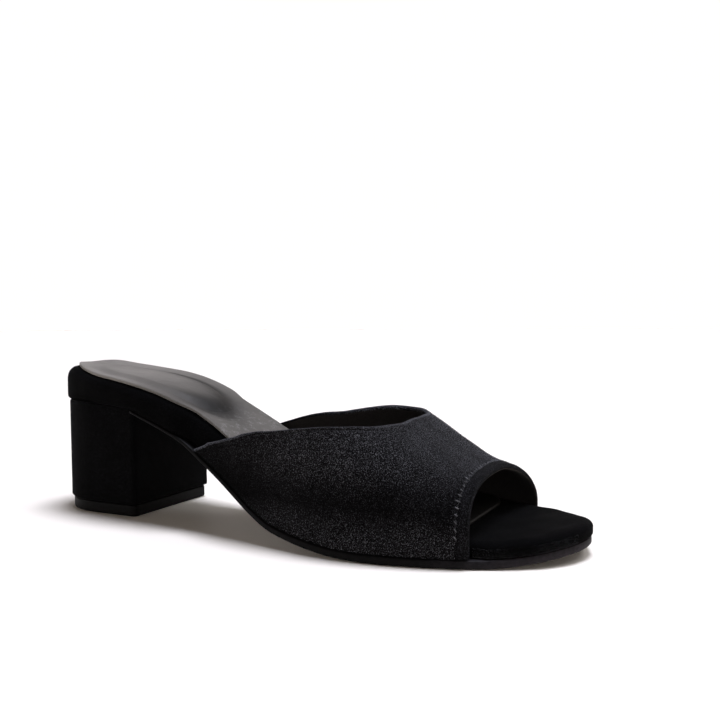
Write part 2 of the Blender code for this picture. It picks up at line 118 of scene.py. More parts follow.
# Height of the insole's underside from the side: 1 at the seat, 0 where the ball stands.
PROFILE = table(
    "along rise",
    (0.000, 1.000), (0.110, 0.985), (0.220, 0.952), (0.250, 0.903), (0.297, 0.816),
    (0.344, 0.718), (0.390, 0.577), (0.436, 0.432), (0.471, 0.314), (0.504, 0.208),
    (0.547, 0.107), (0.609, 0.045), (0.668, 0.010), (0.711, 0.000),
)
TREAD_END = 0.860  # share of LENGTH where the toe spring starts
SPRING_POWER = 2.0  # how gently it starts

# Height of the insole's top from the side, as a share of FOOTBED_HEIGHT: it rises to a rim at
# the back and lies low under the toes.
FOOTBED = table(
    "along height",
    (0.000, 1.066), (0.034, 1.050), (0.078, 1.006), (0.129, 0.968), (0.181, 0.940),
    (0.233, 0.903), (0.284, 0.855), (0.336, 0.787), (0.388, 0.698), (0.427, 0.617),
    (0.474, 0.497), (0.517, 0.383), (0.560, 0.290), (0.603, 0.223), (0.647, 0.183),
    (0.690, 0.162), (0.733, 0.148), (0.797, 0.140), (0.862, 0.138),
)
DISH_END = 0.42  # share of LENGTH where the hollow in the seat ends
SLOPE_REACH = 0.015  # share of LENGTH over which the slope of the sole is taken
STEP_IN = 0.05  # share of LENGTH over which the insole steps in beside the strap
STEP_MARGIN = 0.01  # and how far behind the strap it is done

# Sections of the strap: along is a share of LENGTH, arch is the height over the outsole as a
# share of VAMP_RISE, and the two squares say how boxy its sides are (2 is an ellipse).
STRAP = table(
    "along arch lateral_square medial_square",
    (0.370, 1.190, 2.9, 2.6), (0.435, 1.250, 2.9, 2.6), (0.522, 1.250, 2.8, 2.6),
    (0.622, 1.200, 2.8, 2.5), (0.674, 1.100, 2.8, 2.4), (0.722, 0.955, 2.8, 2.3),
    (0.770, 0.775, 2.8, 2.2), (0.820, 0.610, 2.8, 2.1), (0.857, 0.550, 2.8, 2.0),
    (0.890, 0.520, 2.8, 2.0),
)
STRAP_BACK = 0.3740  # back corner of the strap's foot, share of LENGTH
THROAT = 0.7300  # foremost point of its top line
OPENING_TOP = 0.8570  # front edge over the toes
OPENING_LATERAL = 0.8605  # front edge at the lateral foot
OPENING_MEDIAL = 0.8805  # front edge at the medial foot

# The top line: how far the back edge has run from STRAP_BACK to THROAT on either side, by the
# angle up the section in degrees, from the foot at 0 to the ridge at 90.
THROAT_LINE = table(
    "angle lateral_run medial_run",
    (0, 0.075, 0.050), (1, 0.112, 0.081), (2, 0.139, 0.103), (4, 0.181, 0.138),
    (9, 0.258, 0.208), (15, 0.327, 0.280), (22, 0.418, 0.364), (30, 0.566, 0.490),
    (38, 0.724, 0.622), (46, 0.832, 0.758), (55, 0.916, 0.860), (65, 0.966, 0.930),
    (77, 0.998, 0.985), (90, 1.000, 1.000),
)

# The raised heel pad in the sock, as shares of LENGTH
PAD_BACK = 0.045
PAD_FRONT = 0.385
PAD_SQUARE = 2.6  # 2 would make it an ellipse
PAD_SLOPE = 0.22  # share of its radius over which it rises

BREAST = HEEL_SETBACK + HEEL_LENGTH
RISE = SEAT_HEIGHT - OUTSOLE_TREAD - CLEARANCE
FRAME_SHIFT = -(HEEL_SETBACK + HEEL_LENGTH / 2)

# Seams and edges of the strap
TOP_SEAM = 0.0022  # from the top line's edge to the groove of its seam
TOP_SEAM_DEPTH = 0.00035
SEAM_WIDTH = 0.00045  # of that groove and of the hem's
EDGE_PUFF = 0.00015  # how much the folded edge swells
HEM_SEAM_DEPTH = 0.00055
PUCKER = 0.45  # share of that depth that comes and goes with the stitches
NAP_TUFT = 0.00035  # the nap stands up behind the hem by this much
TUFT_BACK = 0.0010  # and this far behind it
FRONT_NOSE = 0.0008  # how far the rounded edges stand out
BACK_NOSE = 0.0007
NOSE_IN = 0.0004  # the front one starts this far inside the strap's edge

# Stitches of the hem
STITCH_PITCH = 0.0024
STITCH_REACH = 0.0011  # how far a stitch reaches over the hem's edge
STITCH_SPREAD = (0.45, 1.25)  # shares of that reach that single stitches take
STITCH_SHORT = 0.6  # share of it that lies on the hem
STITCH_LEAN = 0.016  # slant of a stitch, as an angle round the strap
STITCH_STRAY = 0.006  # and how far single ones stray
STITCH_LIFT = (0.00034, 0.00020)  # height of its two ends over the strap
THREAD = 0.00042
THREAD_SIDES = 6
THREAD_RINGS = ((0.15, 0.8), (0.5, 1.0), (0.85, 0.8))  # shares of its length and thickness
THREAD_ASIDE = (0.3, 0.2, 0.9)  # a direction that no thread lies along

# The velvet over the outsole on the lateral side of the toe, by shares of LENGTH
REACH_START = (OPENING_LATERAL + 0.004, OPENING_LATERAL + 0.030)  # between these it grows
REACH_END = (0.93, 0.99)  # and between these it dies away
REACH_POWER = 3  # how fast it fades across the toe
LEAST_WIDTH = 0.001  # the sole counts as at least this wide there

# Relief, tones, painted light and painted shade of the sock
GROOVE_AT = 0.97  # radius of the groove round the pad, where the pad's edge is 1
GROOVE_WIDTH = 0.16
GROOVE_DEPTH = 0.0016
GROOVE_TURN = 0.72  # it is deepest on the medial side of the pad's front
GROOVE_FADE = 0.45  # how gently it fades
GROOVE_LEAST = 0.08
GROOVE_MEDIAL = 0.24  # nearer the pad's middle on the medial side
SHADE_BAND_AT = 0.88  # where the painted shade on the pad's slope is darkest, and how far it spreads
SHADE_BAND_WIDTH = 0.22
PAINTED_GROOVE_SHADE = 0.86
PAD_SHADE = 0.10  # how much darker the pad is
PAD_SHADE_END = (0.7, 1.0)  # radii over which that fades
PAINTED_SEAT_LIGHT = (-0.010, 0.045)  # painted light: the sock is lighter at the back of the heel and darkens up to here
PAINTED_STRAP_SHADE = (0.070, 0.135)  # and a painted shade darkens it towards the toe, under the strap, between these
CREASE_AT = 0.098  # middle of the fine creases in front of the pad
CREASE_REACH = 0.010
CREASE_PITCH = 0.0042
CREASE_HEIGHT = 0.00005
CREASE_SLANT = 0.25
CREASE_WANDER = 2.0  # how far they wander, as an angle, and how often
CREASE_WANDER_PITCH = 0.021
CRACK_SCALE = 950  # cells of fine cracks to the metre there

# Nap of the velvet
NAP_SCALE = 2700  # specks of nap to the metre
# Painted light and shade on the strap by height: lightest on top, darkest halfway down
PAINTED_STRAP_LIGHT = table(
    "height share",
    (0.004, 0.85), (0.010, 0.70), (0.018, 0.20), (0.024, 0.36), (0.032, 0.95), (0.042, 1.10),
)
PAINTED_LIGHT_AT_BACK = 0.25  # painted shade: how light the strap stays at its back corner
PAINTED_LIGHT_FORWARD = (0.094, 0.140)  # and between these the painted light rises to full
FIBRE = 0.00004  # half the thickness of one fibre at its root
FIBRE_ROOT = 0.00012  # how deep it is rooted
NAP_LEAN = (0.5, 0.0, -0.35)  # the way the strap's nap lies: to the toe and down
NAP_STRAY = 0.35  # how far single fibres stray from it
NAP_LENGTHS = (0.6, 1.2)  # shares of their length that single fibres take
BODY_FIBRES = 15000
BODY_FIBRE = 0.00050  # length of a fibre
BODY_ENDS = 0.999  # cosine of the angle nearest to the strap's feet
BODY_EVEN = 0.25  # how evenly they are spread by angle, and not by width
HEM_FIBRES = 2600
HEM_FIBRE = 0.00070
HEM_BAND = 0.0018  # they grow behind the hem, up to here
HEM_CROWDING = 1.5  # and crowd towards it
TOP_FIBRES = 3000
TOP_FIBRE = 0.00045
TOP_BAND = 0.0008  # they grow up to here from the top line
TOP_PAST = -0.2  # and this share of that past it
TOE_FIBRES = 3600
TOE_FIBRE = 0.00050
TOE_LENGTHS = (0.5, 1.2)
TOE_STRAY = 0.3
TOE_LIFT = 0.25  # how far they lean upwards
TOE_START = OPENING_LATERAL + 0.003  # where they start, as a share of LENGTH
TOE_LENGTH = 0.990 - OPENING_LATERAL  # and how far they go on
TOE_CROWDING = 1.3  # they crowd towards the start
TOE_ROOT = 0.0003  # how deep they are rooted
TOE_LOW = 0.0002  # height of the lowest over the insole's underside
TOE_HIGH = 0.0030  # and of the highest over those
TOE_SINKING = 2.2  # how much they crowd downwards
NEARBY = 0.001  # how far to both sides the toe's slope is taken

# Softness
LUMP = 0.00012  # unevenness of the padded and stretched velvet
LUMP_PITCH = 0.014
LUMP_FREE = 0.006  # it dies away this near the toe opening
LUMP_WAVES = 9
LUMP_SPREAD = (0.7, 1.6)  # shares of the pitch that single waves take

# Seeds of the random draws
STRAP_LUMPS, FOOTBED_LUMPS = 3, 5
STITCHES, STRAP_NAP, TOE_NAP, FIBRES = 11, 17, 19, 23

# Mesh density
PLAN_STEPS = 60
ARC_STEPS = 4001  # along the hem, to place its stitches
SOLE_ROWS = 170
END_ROWS = 16
ROUND_END = 0.05  # share of LENGTH that the closer rows take at least
BEVEL_STEPS = 4
UNDER_STEPS = 4
ROLL_STEPS = 9
HEEL_RINGS = 17  # round the straight walls of the heel
HEEL_SPAN = (0.1, 0.9)  # and the shares of its height there
PLAIN_COLUMNS = 24
INSOLE_COLUMNS = 40
SOCK_COLUMNS = 72
STRAP_COLUMNS = 260
COLUMN_CROWDING = 0.5
FOOT_STEPS = 6
EDGE_ROWS = 2  # at the folded edge, in a lighter velvet that is a painted highlight
CLOSE_ROWS = 14  # beside each seam
TOP_CLOSE = (0.0040, 0.0055, 0.0075)  # the top ones end here, and two more follow them
HEM_CLOSE = 0.003  # the hem's start so far behind it
BODY_ROWS = 60
HEM_ROWS = 18
RIM_ROWS = 2  # where the lining comes round the toe opening: its own warm colour, lighter there as a painted highlight
INNER_ROWS = 40
NOSE_STEPS = 6
SAME_POINT = 1e-6  # points nearer than this are joined
SNUG = 0.00005  # gap between the heel's cover and the footbed

# Velvets: the colour between the specks of nap and that of the specks, how strong the bloom at
# grazing angles is and its colour, and from where to where in the noise the specks come up
Velvet = namedtuple("Velvet", "dark speck sheen bloom parting")
COOL = (0.8, 0.8, 0.9)
PILE = (0.50, 0.78)
VELVETS = {
    "velvet_strap": Velvet(
        (0.0026, 0.0026, 0.0029), (0.27, 0.27, 0.295), 0.033, (0.88, 0.89, 0.95), (0.53, 0.80)
    ),
    # A lighter copy of the strap's velvet for its folded edges: a painted highlight
    "velvet_edge_painted_highlight": Velvet(
        (0.006, 0.006, 0.007), (0.16, 0.16, 0.18), 0.14, (0.85, 0.87, 0.95), (0.45, 0.75)
    ),
    "velvet_footbed": Velvet((0.0005, 0.0005, 0.0006), (0.007, 0.007, 0.008), 0.005, COOL, PILE),
    "velvet_hem": Velvet((0.0012, 0.0012, 0.0014), (0.060, 0.060, 0.067), 0.012, COOL, PILE),
    "velvet_heel": Velvet((0.0010, 0.0010, 0.0011), (0.012, 0.012, 0.014), 0.016, COOL, PILE),
    # The lining at the toe opening's rim: its warm colour, lightened as a painted highlight
    "lining_rim_painted_highlight": Velvet(
        (0.013, 0.0115, 0.0108), (0.040, 0.036, 0.033), 0.10, (1.0, 0.90, 0.84), (0.40, 0.75)
    ),
}
TOE_PALING_SPAN = (0.155, 0.195)  # between these the rubber turns paler

# Floor, camera and lamps, in the model's own frame
FLOOR_REACH = 6.0
FLOOR_DROP = 0.0002  # how far it lies below the shoe
CAMERA_PLACE = (0.26115, -0.28869, 0.08108)
CAMERA_TURN = (1.522504, 0.008745, 0.464294)
CAMERA = {"lens": 41.766, "sensor_width": 36.0, "clip_start": 0.01}
# The world is white near the horizon and dimmer above, as in a light tent lit from the top
HORIZON_GLOW = (1.12, 1.04, 1.0)
TOP_GLOW = (0.024, 0.016, 0.009)
GLOW_END = (0.35, 0.38)  # sine of the elevation where the white band ends, and is gone
SKY_LEAN = (-0.17, 0.05, 0)
SKY = {"energy": 3.5, "angle": 0.38, "color": (0.93, 0.96, 1.10)}
STRIP_PLACE = (0.55, 0.30, 0.60)
STRIP_AIM = (0.10, 0.0, 0.03)
STRIP_SIZE = {"shape": "RECTANGLE", "size": 0.7, "size_y": 0.3}
STRIP = {"energy": 2.0, "color": (0.95, 0.97, 1.0)}


def through(stations, values, at):
    """A smooth curve through the values that never overshoots them, level past both ends."""
    steps = np.diff(stations)
    grades = np.diff(values) / steps
    slopes = np.zeros(len(values))
    slopes[0], slopes[-1] = grades[0], grades[-1]
    for i in range(1, len(values) - 1):
        if grades[i - 1] * grades[i] > 0:
            slopes[i] = 2 * grades[i - 1] * grades[i] / (grades[i - 1] + grades[i])
    at = np.clip(at, stations[0], stations[-1])
    span = np.clip(np.searchsorted(stations, at, side="right") - 1, 0, len(steps) - 1)
    t = (at - stations[span]) / steps[span]
    start = (1 + 2 * t) * (1 - t) ** 2 * values[span]
    end = t * t * (3 - 2 * t) * values[span + 1]
    bend = t * (1 - t) * ((1 - t) * slopes[span] - t * slopes[span + 1]) * steps[span]
    return start + end + bend


def smoothstep(low, high, at):
    """0 below low, 1 above high, and a soft S between them."""
    t = np.clip((at - low) / (high - low), 0.0, 1.0)
    return t * t * (3 - 2 * t)


def bell(at, middle, width):
    """1 in the middle, dying away to 0 on both sides."""
    return np.exp(-(((at - middle) / width) ** 2))


def unit(ways):
    return ways / np.linalg.norm(ways, axis=1)[:, None]


def quarter_turn(steps):
    return np.linspace(0.0, math.pi / 2, steps)


def closed_spline(points, steps):
    """A closed curve through the points whose bend changes smoothly."""
    count = len(points)
    same = np.eye(count)
    system = 4 * same + np.roll(same, 1, axis=0) + np.roll(same, -1, axis=0)
    turns = np.roll(points, 1, 0) - 2 * points + np.roll(points, -1, 0)
    bends = np.linalg.solve(system, 6 * turns)
    t = np.linspace(0.0, 1.0, steps, endpoint=False)[:, None]
    spans = []
    for i in range(count):
        after = (i + 1) % count
        straight = points[i] * (1 - t) + points[after] * t
        start_bend = ((1 - t) ** 3 - (1 - t)) * bends[i] / 6
        end_bend = (t**3 - t) * bends[after] / 6
        spans.append(straight + start_bend + end_bend)
    return np.vstack(spans)


SOLE_LINE = closed_spline(
    np.column_stack([PLAN["along"] * LENGTH, PLAN["across"] * BALL_WIDTH]), PLAN_STEPS
)


def outline(inset):
    """The sole's outline moved inwards by inset(x)."""
    ahead = np.roll(SOLE_LINE, -1, axis=0) - np.roll(SOLE_LINE, 1, axis=0)
    inward = unit(np.column_stack([ahead[:, 1], -ahead[:, 0]]))
    return SOLE_LINE + inward * inset(SOLE_LINE[:, 0])[:, None]


def sides(line, x):
    """The medial and the lateral y of a closed line at each x."""
    line = np.roll(line, -int(np.argmin(line[:, 0])), axis=0)
    tip = int(np.argmax(line[:, 0]))
    medial = line[: tip + 1]
    lateral = np.vstack([line[tip:], line[:1]])[::-1]
    return np.interp(x, medial[:, 0], medial[:, 1]), np.interp(x, lateral[:, 0], lateral[:, 1])


def toe_spring(share):
    """Lift of the sole towards the tip of the toe."""
    return TOE_SPRING * np.clip((share - TREAD_END) / (1 - TREAD_END), 0, None) ** SPRING_POWER


def insole_underside(x):
    """Height of the insole's underside: the line of the last, from the seat to the toe."""
    share = np.asarray(x) / LENGTH
    arch = RISE * through(PROFILE["along"], PROFILE["rise"], share)
    return OUTSOLE_TREAD + CLEARANCE + arch + toe_spring(share)


def upright(x):
    """How much taller a layer measures straight up than square to the sloping sole."""
    reach = LENGTH * SLOPE_REACH
    slope = (insole_underside(x + reach) - insole_underside(x - reach)) / (2 * reach)
    return np.sqrt(1 + slope**2)


def off_middle(x, y):
    """How far a point lies to the medial side of the sole's middle, and half the sole's width."""
    medial, lateral = sides(SOLE_LINE, x)
    return y - (medial + lateral) / 2, (medial - lateral) / 2


def insole_top(x, y):
    """Height of the insole's top, hollowed across the heel seat."""
    share = np.asarray(x) / LENGTH
    top = FOOTBED_HEIGHT * through(FOOTBED["along"], FOOTBED["height"], share)
    off_centre, half = off_middle(x, y)
    off_centre = off_centre / np.maximum(half, ROLL)
    dish = SEAT_DISH * (1 - smoothstep(0.0, DISH_END, share)) * np.clip(1 - off_centre**2, 0, 1)
    return top + toe_spring(share) - dish


def heel_end(x):
    """1 at the very back of the footbed, dying away to 0."""
    return 1 - smoothstep(0.0, SWELL_END, x / LENGTH)


def roll_swell(x):
    """How much wider the footbed's rolled edges are towards its two ends."""
    toe_end = smoothstep(OPENING_MEDIAL, 1.0, x / LENGTH)
    return 1 + HEEL_SWELL * heel_end(x) + TOE_SWELL * toe_end


def insole_inset(x):
    """The insole steps in beside the strap, and bulges a little at the toe and at the heel."""
    share = x / LENGTH
    under_strap = STRAP_SETBACK + WALL + CLEARANCE
    step_end = STRAP_BACK - STEP_MARGIN
    step = smoothstep(step_end - STEP_IN, step_end, share)
    release = smoothstep(OPENING_MEDIAL, OVERHANG_FULL, share)
    return under_strap * step - (TOE_OVERHANG + under_strap) * release - HEEL_OVERHANG * heel_end(x)


def outsole_underside(x, y):
    """Height of the outsole's underside: thin at the waist and thick under the ball."""
    to_tread = smoothstep(BREAST / LENGTH, PROFILE["along"][-1], x / LENGTH)
    thickness = OUTSOLE_WAIST + (OUTSOLE_TREAD - OUTSOLE_WAIST) * to_tread
    return insole_underside(x) - CLEARANCE - thickness * upright(x)


def under_insole(x, y):
    return insole_underside(x) - CLEARANCE


def sock_underside(x, y):
    return insole_top(x, y) + CLEARANCE


def pad_radius(x, y):
    """0 in the middle of the heel pad and 1 at its edge, and the way round it from its front."""
    middle = LENGTH * (PAD_BACK + PAD_FRONT) / 2
    reach = LENGTH * (PAD_FRONT - PAD_BACK) / 2
    across = off_middle(x, y)[0] / (PAD_WIDTH / 2)
    along = (x - middle) / reach
    radius = (np.abs(along) ** PAD_SQUARE + np.abs(across) ** PAD_SQUARE) ** (1 / PAD_SQUARE)
    return radius, np.arctan2(across, along)


def groove_and_shade_band(x, y, at, width):
    """1 along a band round the pad, nearer its middle on the medial side, fading at the back: for
    the groove and for its painted shade.
    """
    radius, way = pad_radius(x, y)
    fade = smoothstep(-GROOVE_FADE, GROOVE_FADE, np.cos(way - GROOVE_TURN))
    at = at - GROOVE_MEDIAL * np.clip(np.sin(way), 0.0, 1.0)
    return bell(radius, at, width) * (GROOVE_LEAST + (1 - GROOVE_LEAST) * fade)


def painted_pad_shade(x, y):
    """How light the leather is painted: darker on the pad, and darkest in a painted shade on its
    slope into the groove.
    """
    painted_shade = PAINTED_GROOVE_SHADE * groove_and_shade_band(x, y, SHADE_BAND_AT, SHADE_BAND_WIDTH)
    on_pad = 1 - smoothstep(*PAD_SHADE_END, pad_radius(x, y)[0])
    return (1 - painted_shade) * (1 - PAD_SHADE * on_pad)


def sock_top(x, y):
    """The sock with its pad, the groove round it, and the soft creases where the foot bends it."""
    pad = 1 - smoothstep(1 - PAD_SLOPE, 1.0, pad_radius(x, y)[0])
    top = sock_underside(x, y) + SOCK_THICKNESS + PAD_RISE * pad
    sunk = GROOVE_DEPTH * groove_and_shade_band(x, y, GROOVE_AT, GROOVE_WIDTH)
    wander = CREASE_WANDER * np.sin(y * 2 * math.pi / CREASE_WANDER_PITCH)
    waves = np.sin((x + CREASE_SLANT * y) * 2 * math.pi / CREASE_PITCH + wander)
    return top - sunk + CREASE_HEIGHT * bell(x, CREASE_AT, CREASE_REACH) * waves


# One ring round a layer: how far it is inset, and its height as a share of the way from the
# layer's underside to its top plus a rise.
Level = namedtuple("Level", "inset share rise")


def rows_along(backs, fronts, square_back):
    """Where each ring, from its back to its front, has its rows: closer together at its ends."""
    stations = LENGTH * np.arange(1, SOLE_ROWS) / SOLE_ROWS
    reach = LENGTH * ROUND_END
    inner = stations[(stations > backs.max() + reach) & (stations < fronts.min() - reach)]
    turns = math.pi / 2 * np.arange(END_ROWS) / END_ROWS
    heel_spread = np.sin(turns) if square_back else 1 - np.cos(turns)
    toe_spread = np.sin(turns + turns[1])
    rows = []
    for back, front in zip(backs, fronts):
        to_heel = back + (inner[0] - back) * heel_spread
        to_toe = inner[-1] + (front - inner[-1]) * toe_spread
        rows.append(np.concatenate([to_heel, inner, to_toe]))
    return rows


def layer(line, levels, low, high, columns, start=None, end=None, corner=0.0):
    """A closed layer of the sole: rings round its edge and a grid over its top and underside.

    line(inset) gives its outline; start and end cut it off square, with corner as the radius
    of the upright corners at end.
    """
    mesh = bmesh.new()
    edges = [line(level.inset) for level in levels]
    insets = np.array([level.inset for level in levels])
    backs = np.array([edge[:, 0].min() for edge in edges]) if start is None else start + insets
    fronts = np.array([edge[:, 0].max() for edge in edges]) if end is None else end - insets
    share = np.linspace(0.0, 1.0, columns + 1)[None, :]
    rings, grids = [], []
    for level, edge, x in zip(levels, edges, rows_along(backs, fronts, start is not None)):
        medial, lateral = sides(edge, x)
        past = np.clip(x - (x[-1] - corner), 0.0, corner)
        round_off = corner - np.sqrt(corner**2 - past**2)
        grid_x = np.repeat(x[:, None], columns + 1, axis=1)
        one_side = (medial - round_off)[:, None]
        grid_y = one_side * (1 - share) + (lateral + round_off)[:, None] * share
        underside = low(grid_x, grid_y)
        grid_z = underside + level.share * (high(grid_x, grid_y) - underside) + level.rise
        grid = np.stack([grid_x, grid_y, grid_z], axis=-1)
        border = [grid[:, 0], grid[-1, 1:-1], grid[::-1, -1], grid[0, 1:-1][::-1]]
        grids.append(grid)
        rings.append([mesh.verts.new(point) for point in np.vstack(border)])
    for below, above in zip(rings, rings[1:]):
        for i in range(len(below)):
            after = (i + 1) % len(below)
            mesh.faces.new([below[i], below[after], above[after], above[i]])
    for grid in (grids[0], grids[-1]):
        cap = [[mesh.verts.new(point) for point in row] for row in grid]
        for i in range(len(cap) - 1):
            for j in range(columns):
                mesh.faces.new([cap[i][j], cap[i + 1][j], cap[i + 1][j + 1], cap[i][j + 1]])
    return mesh


def strap_front(angle):
    """The strap's front edge at each angle, from the lateral foot at 0 to the medial at pi."""
    foot = np.where(angle < math.pi / 2, OPENING_LATERAL, OPENING_MEDIAL)
    return LENGTH * (OPENING_TOP + (foot - OPENING_TOP) * np.cos(angle) ** 2)


def strap_back(angle):
    """The strap's top line at each angle."""
    climb = np.degrees(np.minimum(angle, math.pi - angle))
    angles = THROAT_LINE["angle"]
    lateral_run = through(angles, THROAT_LINE["lateral_run"], climb)
    medial_run = through(angles, THROAT_LINE["medial_run"], climb)
    run = np.where(angle < math.pi / 2, lateral_run, medial_run)
    return LENGTH * (STRAP_BACK + (THROAT - STRAP_BACK) * run)


def strap_points(x, angle, depth, lift=1.0):
    """Points of the strap's arched sections, depth inside its outer face."""
    share = x / LENGTH
    along = STRAP["along"]
    medial, lateral = sides(SOLE_LINE, x)
    medial = medial - STRAP_SETBACK - depth
    lateral = lateral + STRAP_SETBACK + depth
    ridge = (medial + lateral) / 2
    arch = VAMP_RISE * through(along, STRAP["arch"], share) - depth
    lateral_half = angle < math.pi / 2
    lateral_square = through(along, STRAP["lateral_square"], share)
    medial_square = through(along, STRAP["medial_square"], share)
    power = 2 / np.where(lateral_half, lateral_square, medial_square)
    side = np.where(lateral_half, lateral, medial)
    y = ridge + (side - ridge) * np.abs(np.cos(angle)) ** power
    over_foot = STRAP_FOOT + (arch - STRAP_FOOT) * np.abs(np.sin(angle)) ** power
    return np.stack([x, y, insole_underside(x) + lift * over_foot], axis=-1)


def heel_line(inset):
    """The block's outline from above: a round back and straight sides running past the breast."""
    turn = quarter_turn(PLAN_STEPS)
    power = 2 / HEEL_SQUARE
    half = HEEL_WIDTH / 2 - inset
    along = HEEL_SETBACK + inset + (HEEL_ROUND - inset) * (1 - np.cos(turn) ** power)
    medial = np.column_stack([along, half * np.sin(turn) ** power])
    past_breast = 2 * BREAST
    front = [[past_breast, half], [past_breast, -half]]
    return np.vstack([medial, front, medial[:0:-1] * [1, -1]])


def rounded_levels():
    """Rings for the padded footbed: a small roll below and a larger one above."""
    levels = []
    for turn in quarter_turn(UNDER_STEPS):
        share = UNDER_SHARE * (1 - math.cos(turn))
        levels.append(Level(UNDER_ROLL * (1 - math.sin(turn)), share, 0.0))
    for turn in quarter_turn(ROLL_STEPS):
        share = 1 - ROLL_SHARE * (1 - math.sin(turn))
        levels.append(Level(ROLL * (1 - math.cos(turn)), share, 0.0))
    return levels


def bevel(size, upper=False):
    """Rings for a rounded edge, the lower one or the upper one."""
    levels = []
    for turn in quarter_turn(BEVEL_STEPS):
        off, along = size * (1 - math.sin(turn)), size * (1 - math.cos(turn))
        levels.append(Level(along, 1.0, -off) if upper else Level(off, 0.0, along))
    return levels


def lumps(points, seed):
    """A smooth random unevenness for each point."""
    chance = np.random.default_rng(seed)
    total = np.zeros(points.shape[:-1])
    for _ in range(LUMP_WAVES):
        heading = chance.normal(size=3)
        heading = heading / np.linalg.norm(heading)
        rate = 2 * math.pi / (LUMP_PITCH * chance.uniform(*LUMP_SPREAD))
        total = total + np.sin(points @ heading * rate + chance.uniform(0, 2 * math.pi))
    return LUMP * (total / math.sqrt(LUMP_WAVES))


def join(mesh):
    """Join the points that a layer's parts share, and turn its faces outwards."""
    bmesh.ops.remove_doubles(mesh, verts=mesh.verts, dist=SAME_POINT)
    bmesh.ops.recalc_face_normals(mesh, faces=mesh.faces)


def as_mesh(name, mesh):
    """A bmesh made into a mesh."""
    join(mesh)
    data = bpy.data.meshes.new(name)
    mesh.to_mesh(data)
    mesh.free()
    return data


def mesh_of(name, points, faces):
    data = bpy.data.meshes.new(name)
    data.from_pydata(np.reshape(points, (-1, 3)).tolist(), [], faces)
    return data


def new_piece(name, data, slot, *materials):
    """A shown piece from a mesh, moved onto the model's origin."""
    data.shade_smooth()
    for material in materials:
        data.materials.append(material)
    data.transform(Matrix.Translation((FRAME_SHIFT, 0, 0)))
    piece = bpy.data.objects.new(name, data)
    bpy.context.scene.collection.objects.link(piece)
    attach(piece, "root")
    return piece


def skin(name, rings):
    """A mesh over rings of points that run side by side, closed from the last ring to the first."""
    rings = np.array(rings)
    count, across = rings.shape[:2]
    ahead = (np.arange(count) + 1) % count
    index = np.arange(count * across).reshape(count, across)
    faces = np.stack([index[:, :-1], index[ahead, :-1], index[ahead, 1:], index[:, 1:]], axis=-1)
    ends = [index[:, 0].tolist(), index[::-1, -1].tolist()]
    return mesh_of(name, rings, faces.reshape(-1, 4).tolist() + ends)


# Upper

def strap_columns():
    """Angles, lifts and the two edges of the strap for each of its columns, feet included."""
    even = np.linspace(0.0, math.pi, STRAP_COLUMNS + 1)
    angle = even - COLUMN_CROWDING * np.sin(4 * even) / 4
    back = strap_back(angle)
    front = strap_front(angle)
    foot = np.arange(FOOT_STEPS) / FOOT_STEPS
    still = np.ones(FOOT_STEPS)
    corner = LENGTH * STRAP_BACK
    first_foot = corner + (back[0] - corner) * foot
    last_foot = corner + (back[-1] - corner) * foot[::-1]
    lift = np.concatenate([foot, np.ones(len(angle)), foot[::-1]])
    back = np.concatenate([first_foot, back, last_foot])
    front = np.concatenate([still * front[0], front, still * front[-1]])
    angle = np.concatenate([still * 0.0, angle, still * math.pi])
    return angle, lift, back, front


def edge_arc(points):
    """How far along a row of points each one is."""
    return np.concatenate([[0.0], np.cumsum(np.linalg.norm(np.diff(points, axis=0), axis=1))])


def spread_value(data, name, values):
    """Keep a number for each point of a mesh, for its material."""
    layer_of_values = data.attributes.new(name, "FLOAT", "POINT")
    layer_of_values.data.foreach_set("value", np.asarray(values, dtype=np.float32).ravel())


def painted_strap_light(points):
    """Painted light and shade on the strap: lightest on top, darkest halfway down and at the back.
    """
    high = np.interp(points[:, 2], PAINTED_STRAP_LIGHT["height"], PAINTED_STRAP_LIGHT["share"])
    forward = PAINTED_LIGHT_AT_BACK + (1 - PAINTED_LIGHT_AT_BACK) * smoothstep(*PAINTED_LIGHT_FORWARD, points[:, 0])
    return high * forward


